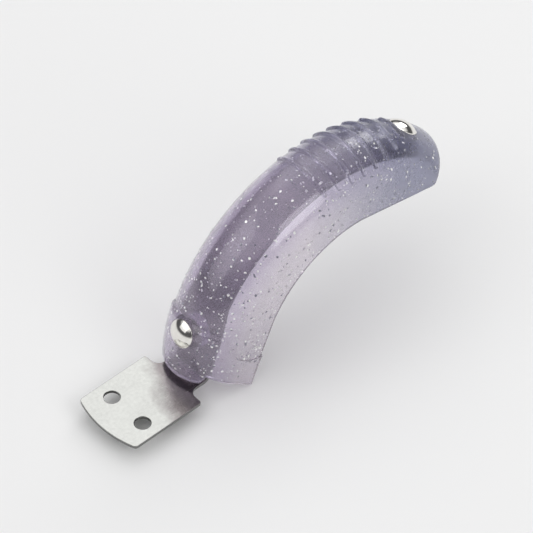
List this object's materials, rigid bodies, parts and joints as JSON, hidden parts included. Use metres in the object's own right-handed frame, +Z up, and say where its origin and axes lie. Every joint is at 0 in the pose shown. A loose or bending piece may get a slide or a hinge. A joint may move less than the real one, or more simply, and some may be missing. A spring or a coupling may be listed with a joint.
{
  "type": "scooter fender brake",
  "caption": "Curved translucent plastic fender on a sprung steel strip with a flat screw plate: the foot presses it onto a scooter's rear wheel to brake.",
  "frame": {"origin": "underside of the mounting plate, midway between its two screw holes", "axes": "+X to the rear of the scooter, from the plate to the fender's tail; +Y to the scooter's left; +Z up, out of the plate"},
  "size_m": [0.1658, 0.035, 0.0776],
  "materials": {
    "cover_plastic": "translucent smoky violet with silver glitter flakes, glossy",
    "spring_steel": "rolled stainless spring steel, satin",
    "rivet_metal": "polished nickel plate"
  },
  "bodies": {
    "mount": {"mounting_plate": "spring_steel", "flex_neck": "spring_steel"},
    "fender": {"brake_strip": "spring_steel", "fender_cover": "cover_plastic", "front_rivet": "rivet_metal", "front_rivet_washer": "rivet_metal", "rear_rivet": "rivet_metal", "rear_rivet_washer": "rivet_metal"}
  },
  "joints": [
    {"name": "brake_press", "type": "hinge", "parent": "mount", "child": "fender", "pos_m": [0.0265, 0, 0.00075], "axis": [0, 1, 0], "range_deg": [0, 7], "stiffness_Nm_per_rad": 80, "deforming": ["flex_neck"]}
  ]
}
